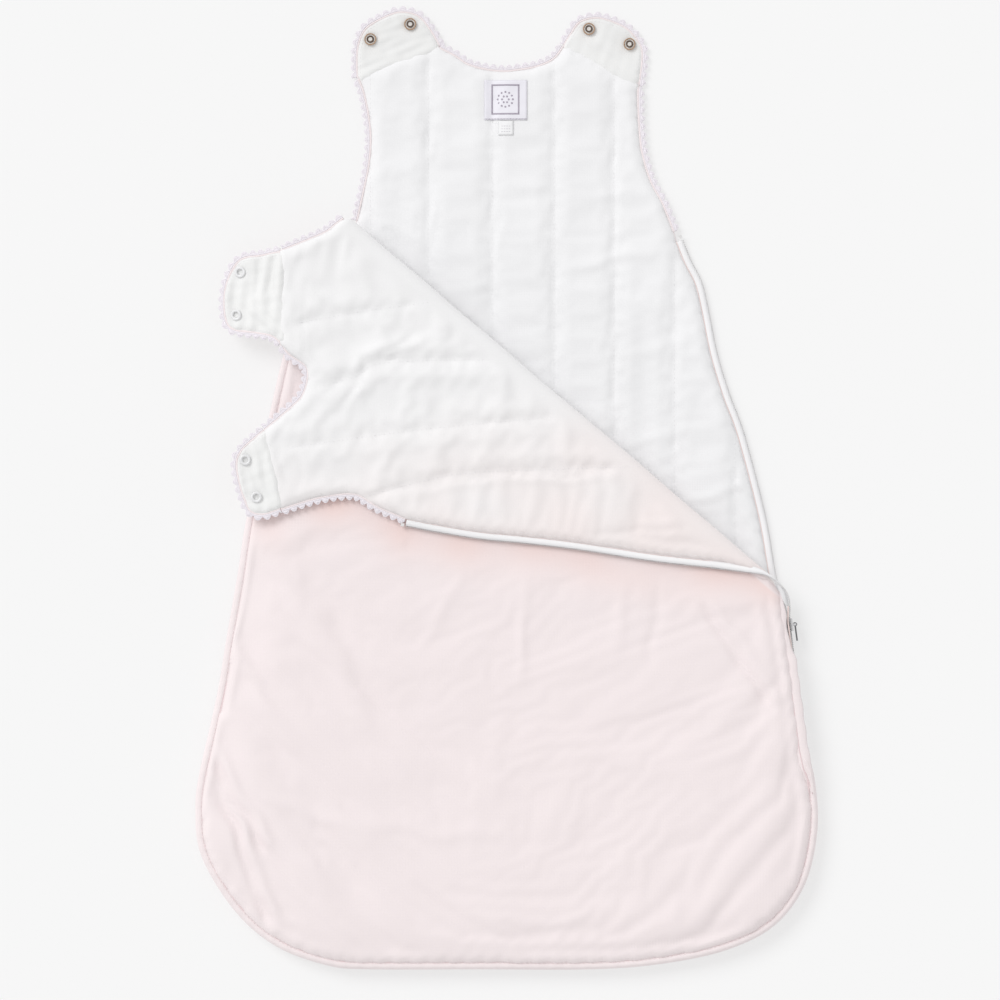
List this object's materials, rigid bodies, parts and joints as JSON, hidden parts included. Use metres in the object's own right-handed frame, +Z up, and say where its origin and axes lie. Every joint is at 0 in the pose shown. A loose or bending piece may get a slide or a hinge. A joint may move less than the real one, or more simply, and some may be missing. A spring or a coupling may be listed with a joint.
{
  "type": "baby sleeping bag",
  "caption": "Sleeveless quilted baby sleeping bag with a side zip, snap shoulder tabs and picot-trimmed neck and armholes, lying flat with its front unzipped and folded open.",
  "frame": {"origin": "on the ground under the middle of the bag's bounding box", "axes": "+X across the bag towards its zip side, +Y along its length towards the neck, +Z up from the ground"},
  "size_m": [0.452, 0.7001, 0.0298],
  "materials": {
    "outer_jersey": "soft cotton jersey, very pale pink",
    "lining_cotton": "matt white cotton jersey",
    "wadding_fibre": "polyester wadding",
    "picot_lace": "looped picot braid, pale lilac pink",
    "zip_fabric": "woven tape",
    "zip_nylon": "nylon coil",
    "slider_enamel": "pale enamel",
    "snap_brass": "antique brass",
    "snap_enamel": "white enamel",
    "label_satin": "pale lilac satin",
    "label_white": "white satin"
  },
  "bodies": {
    "bag": {"back_outer_shell": "outer_jersey", "back_wadding": "wadding_fibre", "back_lining": "lining_cotton", "front_outer_shell": "outer_jersey", "front_wadding": "wadding_fibre", "front_lining": "lining_cotton", "front_fold": "lining_cotton", "edge_seam": "outer_jersey", "back_neck_trim": "picot_lace", "back_armhole_trim_left": "picot_lace", "back_armhole_trim_right": "picot_lace", "zip_tape_back": "zip_fabric", "zip_coil_back": "zip_nylon", "zip_tape_front_lower": "zip_fabric", "zip_coil_front_lower": "zip_nylon", "zip_bottom_stop": "slider_enamel", "zip_top_stop_back": "slider_enamel", "neck_label": "label_satin", "care_label": "label_white"},
    "front_flap": {"flap_outer_shell": "outer_jersey", "flap_wadding": "wadding_fibre", "flap_lining": "lining_cotton", "front_armhole_trim_left": "picot_lace", "front_neck_trim": "picot_lace", "front_armhole_trim_right": "picot_lace", "zip_tape_front_upper": "zip_fabric", "zip_coil_front_upper": "zip_nylon", "zip_top_stop_front": "slider_enamel"},
    "back_tab_left": {"back_tab_left_outer": "outer_jersey", "back_tab_left_facing": "lining_cotton", "back_tab_left_trim": "picot_lace", "back_tab_left_snap_cap_1": "snap_enamel", "back_tab_left_snap_cap_2": "snap_enamel", "back_tab_left_snap_socket_1": "snap_brass", "back_tab_left_snap_socket_2": "snap_brass"},
    "back_tab_right": {"back_tab_right_outer": "outer_jersey", "back_tab_right_facing": "lining_cotton", "back_tab_right_trim": "picot_lace", "back_tab_right_snap_cap_1": "snap_enamel", "back_tab_right_snap_cap_2": "snap_enamel", "back_tab_right_snap_socket_1": "snap_brass", "back_tab_right_snap_socket_2": "snap_brass"},
    "front_tab_left": {"front_tab_left_outer": "outer_jersey", "front_tab_left_facing": "lining_cotton", "front_tab_left_trim": "picot_lace", "front_tab_left_snap_cap_1": "snap_enamel", "front_tab_left_snap_cap_2": "snap_enamel", "front_tab_left_snap_stud_1": "snap_brass", "front_tab_left_snap_stud_2": "snap_brass"},
    "front_tab_right": {"front_tab_right_outer": "outer_jersey", "front_tab_right_facing": "lining_cotton", "front_tab_right_trim": "picot_lace", "front_tab_right_snap_cap_1": "snap_enamel", "front_tab_right_snap_cap_2": "snap_enamel", "front_tab_right_snap_stud_1": "snap_brass", "front_tab_right_snap_stud_2": "snap_brass"},
    "zip_slider": {"zip_slider": "slider_enamel", "zip_slider_inner_plate": "slider_enamel"},
    "zip_puller": {"zip_puller": "slider_enamel"}
  },
  "joints": [
    {"name": "front_flap_fold", "type": "hinge", "parent": "bag", "child": "front_flap", "pos_m": [0.0337, 0.06045, 0.022], "axis": [0.7624, -0.6471, 0], "range_deg": [-178, 0]},
    {"name": "back_tab_left_fold", "type": "hinge", "parent": "bag", "child": "back_tab_left", "pos_m": [-0.0785, 0.3088, 0.015], "axis": [0.9327, 0.3606, 0], "range_deg": [0, 175]},
    {"name": "back_tab_right_fold", "type": "hinge", "parent": "bag", "child": "back_tab_right", "pos_m": [0.0687, 0.3063, 0.015], "axis": [0.8779, -0.4788, 0], "range_deg": [0, 175]},
    {"name": "front_tab_left_fold", "type": "hinge", "parent": "front_flap", "child": "front_tab_left", "pos_m": [-0.1623, 0.1375, 0.0273], "axis": [0, 1, 0], "range_deg": [0, 100]},
    {"name": "front_tab_right_fold", "type": "hinge", "parent": "front_flap", "child": "front_tab_right", "pos_m": [-0.1692, 0.013, 0.0273], "axis": [-0.2026, 0.9793, 0], "range_deg": [0, 90]},
    {"name": "zip_slider_travel", "type": "slide", "parent": "bag", "child": "zip_slider", "axis": [0.1332, -0.9911, 0], "range_m": [0, 0.08]},
    {"name": "zip_puller_swing", "type": "hinge", "parent": "zip_slider", "child": "zip_puller", "pos_m": [0.20946, -0.09932, 0.011], "axis": [0, 0, 1], "range_deg": [0, 170]}
  ]
}
